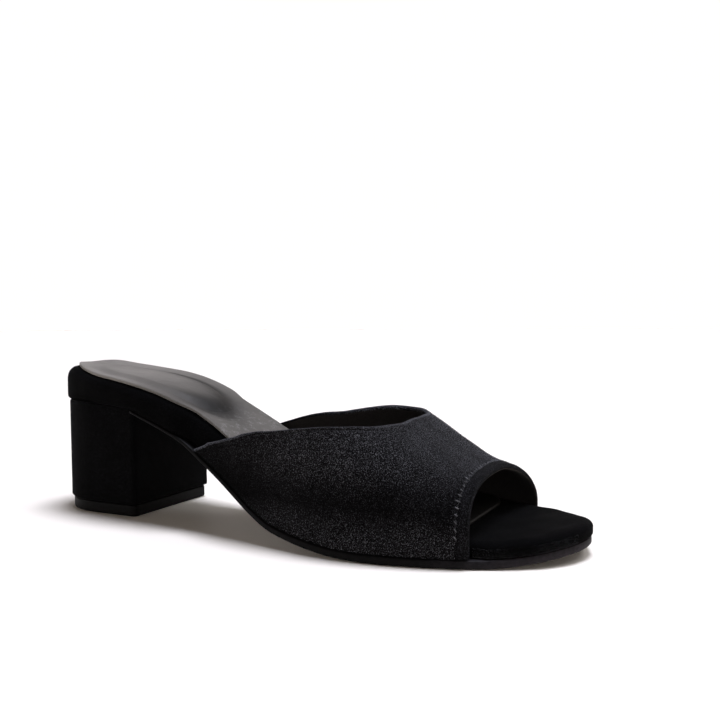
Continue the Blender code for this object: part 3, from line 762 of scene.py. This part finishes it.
def upper():
    """The strap: velvet outside and a smooth lining inside, folded and stitched at both edges."""
    angle, lift, back, front = strap_columns()
    arc = edge_arc(strap_points(front, angle, 0.0, lift))
    pucker = 0.5 + 0.5 * np.cos(2 * math.pi * arc / STITCH_PITCH)
    rings = []

    def ring(x, depth):
        rings.append(strap_points(x, angle, depth, lift))

    def outer_ring(x):
        from_back = x - back
        from_front = front - x
        depth = TOP_SEAM_DEPTH * bell(from_back, TOP_SEAM, SEAM_WIDTH)
        depth = depth - EDGE_PUFF * bell(from_back, TOP_SEAM / 2, TOP_SEAM / 2)
        depth = depth - HEM_STEP * smoothstep(-HEM_EASE, HEM_EASE, HEM - from_front)
        sunk = HEM_SEAM_DEPTH * (1 - PUCKER + PUCKER * pucker)
        depth = depth + sunk * bell(from_front, HEM, SEAM_WIDTH)
        tuft = NAP_TUFT * bell(from_front, HEM + TUFT_BACK, TUFT_BACK)
        depth = depth - tuft * (1 - pucker / 2)
        uneven = lumps(strap_points(x, angle, 0.0, lift), STRAP_LUMPS)
        ring(x, depth + uneven * smoothstep(0.0, LUMP_FREE, from_front))

    for from_back in [*np.linspace(0.0, TOP_CLOSE[0], CLOSE_ROWS), *TOP_CLOSE[1:]]:
        outer_ring(back + from_back)
    start = back + TOP_CLOSE[-1]
    end = front - HEM - HEM_CLOSE
    for share in np.linspace(0.0, 1.0, BODY_ROWS + 1)[1:-1]:
        outer_ring(start + (end - start) * share)
    for from_front in np.linspace(HEM + HEM_CLOSE, HEM, CLOSE_ROWS)[:-1]:
        outer_ring(front - from_front)
    hem_start = len(rings)
    for from_front in np.linspace(HEM, NOSE_IN, HEM_ROWS):
        outer_ring(front - from_front)
    turns = np.linspace(0.0, math.pi, NOSE_STEPS + 1)[1:-1]
    half = (WALL + HEM_STEP) / 2
    for turn in turns:
        x = front - NOSE_IN + FRONT_NOSE * math.sin(turn)
        ring(x, -HEM_STEP + half * (1 - math.cos(turn)))
    inside = len(rings)
    for share in np.linspace(1.0, 0.0, INNER_ROWS + 1):
        ring(back + (front - NOSE_IN - back) * share, WALL)
    for turn in turns:
        ring(back - BACK_NOSE * math.sin(turn), WALL / 2 * (1 + math.cos(turn)))

    data = skin("upper_velvet", rings)
    # the strap's colour is scaled by painted light and shade, by height and along the strap
    spread_value(data, "nap", painted_strap_light(np.array(rings).reshape(-1, 3)))
    looks = [velvet("velvet_strap", "nap"), lining_material()]
    # the edge velvet and the lining's rim are lighter copies that paint highlights
    looks += [velvet(name) for name in ("velvet_edge_painted_highlight", "velvet_hem", "lining_rim_painted_highlight")]
    piece = new_piece("upper_velvet", data, "velvet", *looks)
    columns = len(angle) - 1
    finish = np.zeros(len(data.polygons), dtype=np.int32)
    for first, last, look in (
        (inside - 1, inside + INNER_ROWS, 1),
        (0, EDGE_ROWS, 2),
        (len(rings) - EDGE_ROWS - 1, len(rings), 2),
        (hem_start - 1, inside - RIM_ROWS, 3),
        (inside - RIM_ROWS, inside, 4),
    ):
        finish[first * columns : last * columns] = look
    data.polygons.foreach_set("material_index", finish)
    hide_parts("upper")


# Layers of the sole

def toe_reach(x, y):
    """How much further the velvet spreads over the outsole on the lateral side of the toe."""
    share = x / LENGTH
    whole = smoothstep(*REACH_START, share)
    gone = smoothstep(*REACH_END, share)
    off_centre, half = off_middle(x, y)
    beside = np.clip(off_centre / np.minimum(-2 * half, -LEAST_WIDTH) * 2, 0.0, 1.0)
    room = STRAP_SETBACK + WALL + CLEARANCE
    already = (TOE_OVERHANG + room) * smoothstep(OPENING_MEDIAL, OVERHANG_FULL, share)
    return np.clip(room - already, 0.0, None) * whole * (1 - gone) * beside**REACH_POWER


def footbed():
    """The padded insole in its velvet cover."""
    underside = lambda x, y: insole_underside(x)
    edge = lambda lean: outline(lambda x: insole_inset(x) + lean * roll_swell(x))
    mesh = layer(edge, rounded_levels(), underside, insole_top, INSOLE_COLUMNS)
    join(mesh)
    points = np.array([vertex.co[:] for vertex in mesh.verts])
    reach = toe_reach(points[:, 0], points[:, 1])
    mesh.normal_update()
    for vertex, lump, out in zip(mesh.verts, lumps(points, FOOTBED_LUMPS), reach):
        vertex.co += vertex.normal * float(lump - LUMP)
        vertex.co.y -= float(out)
    data = as_mesh("insole_velvet", mesh)
    piece = new_piece("insole_velvet", data, "velvet", velvet("velvet_footbed"))
    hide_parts("insole")


def sock():
    """The smooth cover on the footbed, with painted shade round its pad and marks where it is
    creased.
    """
    levels = [Level(0.0, 0.0, 0.0), *bevel(SOCK_THICKNESS / 2, upper=True)]
    margin = lambda x: SOCK_MARGIN + ROLL * HEEL_SWELL * heel_end(x)
    edge = lambda inset: outline(lambda x: insole_inset(x) + margin(x) + inset)
    cut_off = {"end": LENGTH * SOCK_END, "corner": SOCK_CORNER}
    mesh = layer(edge, levels, sock_underside, sock_top, SOCK_COLUMNS, **cut_off)
    data = as_mesh("sock_leather", mesh)
    x, y = np.array([vertex.co[:2] for vertex in data.vertices]).T
    # painted shade on the pad and on its slope into the groove, kept for the material
    spread_value(data, "painted_shade", painted_pad_shade(x, y))
    spread_value(data, "creased", bell(x, CREASE_AT, CREASE_REACH))
    piece = new_piece("sock_leather", data, "sock_leather", sock_material())
    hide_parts("sock")


def sole(rubber):
    """The rubber outsole, cut off square at the breast of the heel."""
    levels = bevel(OUTSOLE_BEVEL)
    levels += [Level(0.0, 1.0, -OUTSOLE_BEVEL / 2), Level(OUTSOLE_BEVEL / 2, 1.0, 0.0)]
    edge = lambda inset: outline(lambda x: 0 * x + inset)
    start = BREAST + CLEARANCE
    mesh = layer(edge, levels, outsole_underside, under_insole, PLAIN_COLUMNS, start=start)
    data = as_mesh("outsole_rubber", mesh)
    piece = new_piece("outsole_rubber", data, "sole_rubber", rubber)
    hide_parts("outsole")


def heel_slice(name, slot, inset, low, high, material):
    """A slice of the heel between two heights."""
    levels = bevel(HEEL_BEVEL)
    levels += [Level(0.0, share, 0.0) for share in np.linspace(*HEEL_SPAN, HEEL_RINGS)]
    levels += bevel(HEEL_BEVEL, upper=True)
    edge = lambda extra: heel_line(inset + extra)
    mesh = layer(edge, levels, low, high, PLAIN_COLUMNS, end=BREAST - inset, corner=HEEL_CORNER)
    return new_piece(name, as_mesh(name, mesh), slot, material)


def heel(rubber):
    """The block in its velvet, and the rubber piece under it."""
    foot = lambda x, y: 0 * x + TOP_PIECE + CLEARANCE
    seat = lambda x, y: insole_underside(x) - SNUG
    block = heel_slice("heel_velvet", "velvet", 0.0, foot, seat, velvet("velvet_heel"))
    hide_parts("heel_block")
    ground = lambda x, y: 0 * x
    top = lambda x, y: 0 * x + TOP_PIECE
    tread = heel_slice("heel_rubber", "sole_rubber", TOP_PIECE_INSET, ground, top, rubber)
    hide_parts("heel_top_piece")


# Nap

def fibres(name, roots, ways, lengths, material):
    """Single fibres of nap, each a three-sided spike."""
    chance = np.random.default_rng(FIBRES)
    ways = unit(ways)
    across = unit(np.cross(ways, chance.normal(size=ways.shape)))
    beside = np.cross(ways, across)
    points = [roots + ways * lengths[:, None]]
    for turn in 2 * math.pi * np.arange(3) / 3:
        points.append(roots + FIBRE * (across * math.cos(turn) + beside * math.sin(turn)))
    points = np.stack(points, axis=1)
    first = 4 * np.arange(len(roots))[:, None]
    faces = np.concatenate([first + side for side in ([0, 1, 2], [0, 2, 3], [0, 3, 1], [1, 3, 2])])
    new_piece(name, mesh_of(name, points, faces.tolist()), "velvet", material)


def strap_nap():
    """Loose fibres over the strap, thicker along its hem and its top line."""
    chance = np.random.default_rng(STRAP_NAP)
    angle = np.arccos(chance.uniform(-BODY_ENDS, BODY_ENDS, BODY_FIBRES))
    angle = angle + BODY_EVEN * (math.pi * chance.uniform(0, 1, BODY_FIBRES) - angle)
    back = strap_back(angle)
    x = back + (strap_front(angle) - HEM - back) * chance.uniform(0.0, 1.0, BODY_FIBRES)
    groups = [(angle, x, BODY_FIBRE)]
    angle = math.pi * chance.uniform(0.0, 1.0, HEM_FIBRES)
    x = strap_front(angle) - HEM - HEM_BAND * chance.uniform(0, 1, HEM_FIBRES) ** HEM_CROWDING
    groups.append((angle, x, HEM_FIBRE))
    angle = math.pi * chance.uniform(0.0, 1.0, TOP_FIBRES)
    x = strap_back(angle) + TOP_BAND * chance.uniform(TOP_PAST, 1, TOP_FIBRES)
    groups.append((angle, x, TOP_FIBRE))
    roots, ways, lengths = [], [], []
    for angle, x, length in groups:
        root = strap_points(x, angle, FIBRE_ROOT)
        way = unit(strap_points(x, angle, -FIBRE_ROOT) - root)
        roots.append(root)
        ways.append(way + NAP_LEAN + NAP_STRAY * chance.normal(size=way.shape))
        lengths.append(length * chance.uniform(*NAP_LENGTHS, len(angle)))
    light = hair_material("velvet_fibre", (0.020, 0.020, 0.023), (0.20, 0.20, 0.225))
    fibres("strap_nap", np.vstack(roots), np.vstack(ways), np.concatenate(lengths), light)


def toe_nap():
    """The nap that stands out over the outsole along the toe."""
    chance = np.random.default_rng(TOE_NAP)
    shares = chance.uniform(0, 1, TOE_FIBRES) ** TOE_CROWDING
    x = LENGTH * (TOE_START + TOE_LENGTH * shares)
    line = outline(insole_inset)
    y = sides(line, x)[1]
    y = y - toe_reach(x, y) + TOE_ROOT
    slope = (sides(line, x + NEARBY)[1] - sides(line, x - NEARBY)[1]) / (2 * NEARBY)
    high = TOE_LOW + TOE_HIGH * chance.uniform(0, 1, TOE_FIBRES) ** TOE_SINKING
    roots = np.stack([x, y, insole_underside(x) + high], axis=-1)
    ways = np.stack([slope, -np.ones(TOE_FIBRES), np.full(TOE_FIBRES, TOE_LIFT)], axis=-1)
    ways = unit(ways) + TOE_STRAY * chance.normal(size=ways.shape)
    lengths = TOE_FIBRE * chance.uniform(*TOE_LENGTHS, TOE_FIBRES)
    dim = hair_material("velvet_fibre_dim", (0.010, 0.010, 0.011), (0.060, 0.060, 0.066))
    fibres("toe_nap", roots, ways, lengths, dim)


# Threads

def threads(name, starts, ends):
    """Short straight threads, each a thin rod with pointed ends."""
    points, faces = [], []
    for start, end in zip(starts, ends):
        axis = (end - start) / np.linalg.norm(end - start)
        across = np.cross(axis, THREAD_ASIDE)
        across = across / np.linalg.norm(across)
        up = np.cross(axis, across)
        first = len(points)
        points.append(start)
        for share, swell in THREAD_RINGS:
            centre = start + (end - start) * share
            radius = THREAD / 2 * swell
            for turn in 2 * math.pi * np.arange(THREAD_SIDES) / THREAD_SIDES:
                points.append(centre + radius * (across * math.cos(turn) + up * math.sin(turn)))
        points.append(end)
        tip = len(points) - 1
        for i in range(THREAD_SIDES):
            after = (i + 1) % THREAD_SIDES
            faces.append([first, first + 1 + after, first + 1 + i])
            for row in range(len(THREAD_RINGS) - 1):
                a = first + 1 + row * THREAD_SIDES
                b = a + THREAD_SIDES
                faces.append([a + i, a + after, b + after, b + i])
            a = tip - THREAD_SIDES
            faces.append([a + i, a + after, tip])
    return mesh_of(name, points, faces)


def hem_angles():
    """The angle round the strap at each stitch of its hem."""
    fine = np.linspace(0.0, math.pi, ARC_STEPS)
    arc = edge_arc(strap_points(strap_front(fine) - HEM, fine, 0.0))
    return np.interp(np.arange(STITCH_PITCH / 2, arc[-1], STITCH_PITCH), arc, fine)


def stitches():
    """Thread at the toe hem, lying slantwise over its edge."""
    at = hem_angles()
    chance = np.random.default_rng(STITCHES)
    lean = STITCH_LEAN + STITCH_STRAY * chance.normal(size=len(at))
    reach = STITCH_REACH * chance.uniform(*STITCH_SPREAD, len(at))
    x = strap_front(at) - HEM
    starts = strap_points(x - reach, at + lean, -STITCH_LIFT[0])
    ends = strap_points(x + reach * STITCH_SHORT, at - lean, -STITCH_LIFT[1])
    data = threads("hem_stitches", starts, ends)
    new_piece("hem_stitches", data, "velvet", thread_material())


# Materials

def shader(name):
    material = bpy.data.materials.new(name)
    material.use_nodes = True
    tree = material.node_tree
    return material, tree, tree.nodes["Principled BSDF"]


def feed(node, **inputs):
    """Give a node its inputs, with _ for the spaces in their names: values, or other outputs."""
    for name, value in inputs.items():
        socket = node.inputs[name.replace("_", " ")]
        if isinstance(value, bpy.types.NodeSocket):
            node.id_data.links.new(value, socket)
        else:
            socket.default_value = value
    return node.outputs


def new_node(tree, kind, **settings):
    node = tree.nodes.new("ShaderNode" + kind)
    for name, value in settings.items():
        setattr(node, name, value)
    return node


def place(tree, space="Object"):
    return new_node(tree, "TexCoord").outputs[space]


def coordinate(tree, space, axis):
    """One of the coordinates of each point."""
    return feed(new_node(tree, "SeparateXYZ"), Vector=place(tree, space))[axis]


def noise(tree, scale, detail=3.0, roughness=0.55):
    """A noise texture in the object's own coordinates, scale bumps to the metre."""
    node = new_node(tree, "TexNoise")
    return feed(node, Vector=place(tree), Scale=scale, Detail=detail, Roughness=roughness)["Fac"]


def cracks(tree, scale):
    """The distance to the edges of small cells, scale cells to the metre."""
    node = new_node(tree, "TexVoronoi", feature="DISTANCE_TO_EDGE")
    return feed(node, Vector=place(tree), Scale=scale)["Distance"]


def kept_value(tree, name):
    """The number that the mesh keeps for each of its points, as a grey."""
    return new_node(tree, "Attribute", attribute_name=name).outputs["Color"]


def grey(tone):
    return (tone,) * 3


def ramp(tree, value, low, high, dark, light):
    """dark where value is below low, light above high, and a blend between."""
    node = new_node(tree, "ValToRGB")
    first, last = node.color_ramp.elements
    first.position, first.color = low, (*dark, 1)
    last.position, last.color = high, (*light, 1)
    return feed(node, Fac=value)["Color"]


def blend(tree, how, first, *others):
    """Colours multiplied or added, one after the other."""
    for other in others:
        node = new_node(tree, "Mix", data_type="RGBA", blend_type=how)
        first = feed(node, Factor=1.0, A=first, B=other)["Result"]
    return first


def bump(tree, height, strength, distance, **under):
    """Relief, on top of other relief if that is given as Normal."""
    node = new_node(tree, "Bump")
    return feed(node, Strength=strength, Distance=distance, Height=height, **under)["Normal"]


def velvet(name, *kept):
    """Velvet: near black, a faint bloom at grazing angles, and specks where the nap parts.

    kept names a number kept in the mesh that scales its colour.
    """
    look = VELVETS[name]
    material, tree, body = shader(name)
    fine = noise(tree, NAP_SCALE, 2.5, 0.8)
    tufts = ramp(tree, fine, *look.parting, look.dark, look.speck)
    shade = ramp(tree, noise(tree, 60, 4.0), 0.35, 0.65, grey(0.60), grey(1.0))
    scales = [kept_value(tree, value) for value in kept]
    clumps = bump(tree, noise(tree, 800, 3.0, 0.65), 0.4, 0.0004)
    feed(
        body,
        Base_Color=blend(tree, "MULTIPLY", tufts, shade, *scales),
        Roughness=0.9,
        Specular_IOR_Level=0.03,
        Sheen_Weight=look.sheen,
        Sheen_Roughness=0.35,
        Sheen_Tint=(*look.bloom, 1),
        Normal=bump(tree, fine, 0.8, 0.0003, Normal=clumps),
    )
    return material


def hair_material(name, dark, light):
    """Single fibres of the nap."""
    material, tree, body = shader(name)
    tone = ramp(tree, noise(tree, 2300, 2.0), 0.35, 0.70, dark, light)
    feed(body, Base_Color=tone, Roughness=0.5, Specular_IOR_Level=0.3)
    return material


def lining_material():
    """The strap's lining: a smooth dark microfibre with a warm cast."""
    material, tree, body = shader("strap_lining")
    cloth = noise(tree, 1900, 2.0)
    tone = ramp(tree, cloth, 0.3, 0.7, (0.0085, 0.0066, 0.0064), (0.016, 0.0135, 0.013))
    feed(body, Base_Color=tone, Roughness=0.8, Specular_IOR_Level=0.25)
    feed(body, Normal=bump(tree, cloth, 0.3, 0.0002))
    return material


def sock_material():
    """Smooth grey leather: fine grain, slow changes of tone, fine cracks and a soft gloss, with
    painted light at the heel and painted shade under the strap and round the pad.
    """
    material, tree, body = shader("sock_grey")
    tone = ramp(tree, noise(tree, 45), 0.3, 0.7, (0.128, 0.119, 0.107), (0.172, 0.160, 0.144))
    along = coordinate(tree, "Object", "X")
    # Painted shade: much darker towards the toe, where the strap shades the sock
    strap_shade_paint = ramp(tree, along, *PAINTED_STRAP_SHADE, grey(1.0), (0.09, 0.085, 0.085))
    # Painted light: lighter at the back of the heel, darker towards the front
    seat = ramp(tree, along, *PAINTED_SEAT_LIGHT, grey(1.32), grey(0.68))
    color = blend(tree, "MULTIPLY", tone, strap_shade_paint, seat, kept_value(tree, "painted_shade"))
    lines = ramp(tree, cracks(tree, CRACK_SCALE), 0.0, 0.18, grey(0.085), grey(0.0))
    patches = ramp(tree, noise(tree, 420), 0.49, 0.62, grey(0.0), grey(1.0))
    lines = blend(tree, "MULTIPLY", lines, patches, kept_value(tree, "creased"))
    gloss = ramp(tree, noise(tree, 160), 0.3, 0.7, grey(0.50), grey(0.62))
    feed(body, Base_Color=blend(tree, "ADD", color, lines), Roughness=gloss)
    grain = bump(tree, noise(tree, 1500, 4.0, 0.6), 0.10, 0.0003)
    creases = bump(tree, noise(tree, 260, 5.0, 0.6), 0.10, 0.0006, Normal=grain)
    feed(body, Specular_IOR_Level=0.12, Normal=creases)
    return material


def rubber_material():
    """Charcoal rubber, paler towards the toe."""
    material, tree, body = shader("rubber_charcoal")
    mottle = noise(tree, 700)
    tone = ramp(tree, mottle, 0.3, 0.75, (0.0018, 0.0017, 0.0018), (0.0045, 0.0042, 0.0044))
    along = coordinate(tree, "Object", "X")
    toe_paling = ramp(tree, along, *TOE_PALING_SPAN, grey(1.0), (7.0, 6.6, 7.2))
    feed(body, Base_Color=blend(tree, "MULTIPLY", tone, toe_paling), Roughness=0.5)
    feed(body, Specular_IOR_Level=0.05, Normal=bump(tree, noise(tree, 2200), 0.25, 0.0002))
    return material


def thread_material():
    """Dark grey thread, lighter where its strands turn up."""
    material, tree, body = shader("thread_grey")
    twist = noise(tree, 620)
    tone = ramp(tree, twist, 0.35, 0.65, (0.014, 0.014, 0.016), (0.105, 0.105, 0.115))
    feed(body, Base_Color=tone, Roughness=0.6, Normal=bump(tree, twist, 0.4, 0.0001))
    return material


def floor_material():
    """A pale warm floor."""
    material, tree, body = shader("pale_floor")
    mottle = noise(tree, 3.0, 2.0)
    tone = ramp(tree, mottle, 0.3, 0.7, (0.925, 0.875, 0.795), (0.935, 0.885, 0.805))
    feed(body, Base_Color=tone, Roughness=0.55, Specular_IOR_Level=0.2)
    return material


# Studio

def show(data, place=(0, 0, 0), turn=(0, 0, 0), **settings):
    """An object of the studio."""
    for name, value in settings.items():
        setattr(data, name, value)
    thing = bpy.data.objects.new(data.name, data)
    thing.location = place
    thing.rotation_euler = turn
    bpy.context.scene.collection.objects.link(thing)
    return thing


def studio():
    """The floor, the world, the two lamps and the camera."""
    near, far = -FLOOR_REACH, FLOOR_REACH
    corners = [(near, near, 0), (far, near, 0), (far, far, 0), (near, far, 0)]
    plane = mesh_of("floor", corners, [(0, 1, 2, 3)])
    plane.materials.append(floor_material())
    floor = show(plane, (0, 0, -FLOOR_DROP))

    scene = bpy.context.scene
    scene.view_settings.view_transform = "Standard"
    world = bpy.data.worlds.new("studio")
    world.use_nodes = True
    tree = world.node_tree
    height = coordinate(tree, "Generated", "Z")
    glow = ramp(tree, height, *GLOW_END, HORIZON_GLOW, TOP_GLOW)
    feed(tree.nodes["Background"], Color=glow)
    scene.world = world

    show(bpy.data.lights.new("overhead", "SUN"), turn=SKY_LEAN, **SKY)
    to_shoe = (Vector(STRIP_AIM) - Vector(STRIP_PLACE)).to_track_quat("-Z", "Y").to_euler()
    show(bpy.data.lights.new("strip", "AREA"), STRIP_PLACE, to_shoe, **STRIP_SIZE, **STRIP)
    scene.camera = show(bpy.data.cameras.new("camera"), CAMERA_PLACE, CAMERA_TURN, **CAMERA)


rubber = rubber_material()
upper()
footbed()
sock()
sole(rubber)
heel(rubber)
stitches()
strap_nap()
toe_nap()
studio()
